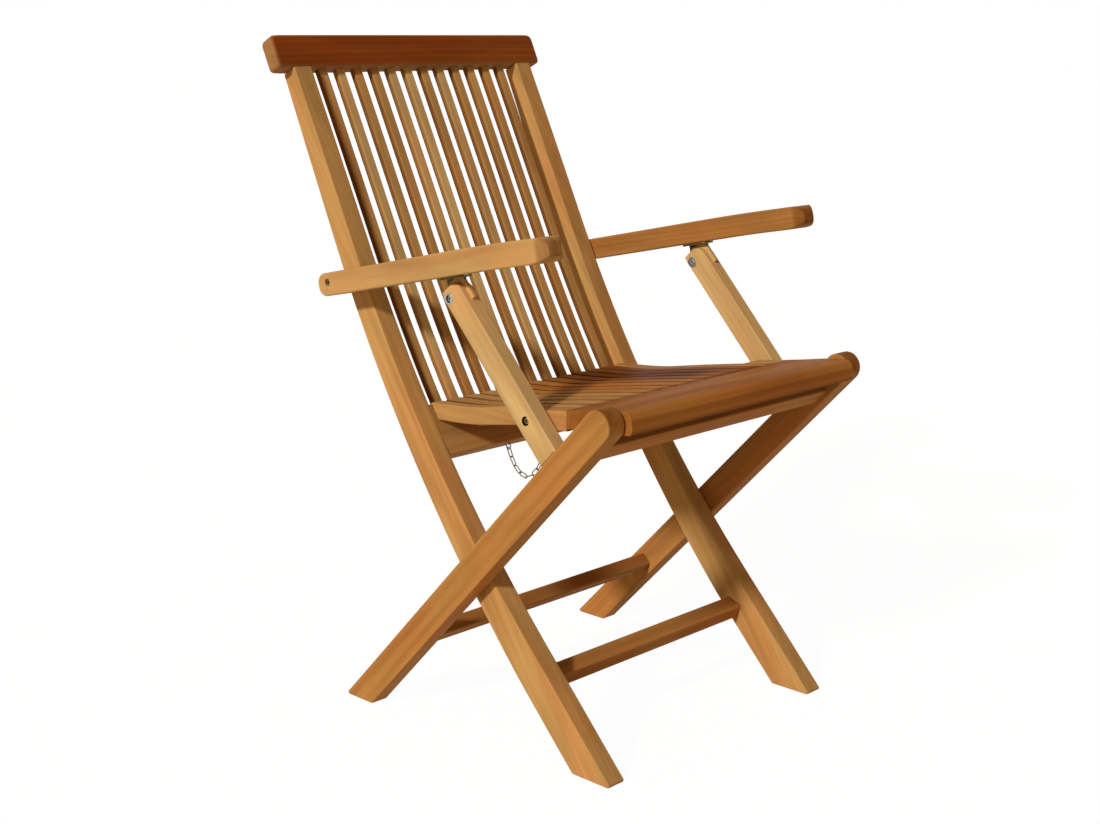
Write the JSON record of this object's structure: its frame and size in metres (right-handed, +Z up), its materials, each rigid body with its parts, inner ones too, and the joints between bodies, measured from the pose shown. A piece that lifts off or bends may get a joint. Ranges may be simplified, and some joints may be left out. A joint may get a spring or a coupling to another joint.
{
  "type": "folding armchair",
  "caption": "Folding outdoor armchair in teak: slatted seat and curved slatted back, crossed legs, hinged arms, and a short safety chain under the seat.",
  "frame": {"origin": "middle of the outline on the floor, under the chair", "axes": "+Z up, -Y to the front of the seat, +X to the right seen from the front"},
  "size_m": [0.5278, 0.6418, 0.8888],
  "materials": {
    "teak": "smooth planed teak, golden brown, satin",
    "pale_teak": "smooth planed teak, straw yellow, satin",
    "dark_teak": "smooth planed teak, orange brown, satin",
    "steel": "zinc plated, slightly dulled"
  },
  "bodies": {
    "back_frame": {"stile_left": "teak", "stile_right": "teak", "back_slat_01": "teak", "back_slat_02": "teak", "back_slat_03": "teak", "back_slat_04": "teak", "back_slat_05": "teak", "back_slat_06": "teak", "back_slat_07": "teak", "back_slat_08": "teak", "back_slat_09": "teak", "back_slat_10": "teak", "back_slat_11": "teak", "back_slat_12": "teak", "top_rail": "teak", "rear_screw_eye": "steel", "lower_back_rail": "teak", "front_stretcher": "dark_teak", "cross_pin_left": "steel", "cross_pin_right": "steel", "chain": "steel"},
    "rear_legs": {"rear_leg_left": "dark_teak", "rear_leg_right": "dark_teak", "rear_stretcher": "dark_teak", "lower_front_rail": "dark_teak"},
    "seat": {"side_rail_left": "teak", "side_rail_right": "teak", "seat_screw_eye": "steel", "seat_slat_01": "teak", "seat_slat_02": "teak", "seat_slat_03": "teak", "seat_slat_04": "teak", "seat_slat_05": "teak", "seat_slat_06": "teak", "seat_slat_07": "teak", "seat_slat_08": "teak", "seat_slat_09": "teak", "seat_slat_10": "teak", "seat_slat_11": "teak", "front_slat": "dark_teak", "cheek_left": "teak", "cheek_right": "teak", "batten_1": "teak", "batten_2": "teak", "seat_bolt_left": "steel", "seat_pin_left": "steel", "seat_bolt_right": "steel", "seat_pin_right": "steel"},
    "left_support": {"support_left": "pale_teak", "bracket_bolt_left": "steel"},
    "left_arm": {"arm_left": "pale_teak", "bracket_left": "steel", "arm_bolt_left": "steel"},
    "right_support": {"support_right": "pale_teak", "bracket_bolt_right": "steel"},
    "right_arm": {"arm_right": "pale_teak", "bracket_right": "steel", "arm_bolt_right": "steel"}
  },
  "joints": [
    {"name": "leg_fold", "type": "hinge", "parent": "back_frame", "child": "rear_legs", "pos_m": [0, -0.06903, 0.22009], "axis": [-1, 0, 0], "range_deg": [0, 70]},
    {"name": "seat_fold", "type": "hinge", "parent": "rear_legs", "child": "seat", "pos_m": [0, -0.2929, 0.4577], "axis": [1, 0, 0], "range_deg": [0, 140]},
    {"name": "left_support_swing", "type": "hinge", "parent": "seat", "child": "left_support", "pos_m": [0, -0.17311, 0.44468], "axis": [-1, 0, 0], "range_deg": [0, 44]},
    {"name": "left_arm_fold", "type": "hinge", "parent": "left_support", "child": "left_arm", "pos_m": [0, -0.04207, 0.57651], "axis": [-1, 0, 0], "range_deg": [0, 123]},
    {"name": "right_support_swing", "type": "hinge", "parent": "seat", "child": "right_support", "pos_m": [0, -0.17311, 0.44468], "axis": [-1, 0, 0], "range_deg": [0, 44]},
    {"name": "right_arm_fold", "type": "hinge", "parent": "right_support", "child": "right_arm", "pos_m": [0, -0.04207, 0.57651], "axis": [-1, 0, 0], "range_deg": [0, 123]}
  ],
  "couplings": [
    {"joint": "seat_fold", "follows": "leg_fold", "ratio": 2},
    {"joint": "left_support_swing", "follows": "leg_fold", "ratio": 0.6285},
    {"joint": "left_arm_fold", "follows": "leg_fold", "ratio": 1.757},
    {"joint": "right_support_swing", "follows": "leg_fold", "ratio": 0.6285},
    {"joint": "right_arm_fold", "follows": "leg_fold", "ratio": 1.757}
  ]
}
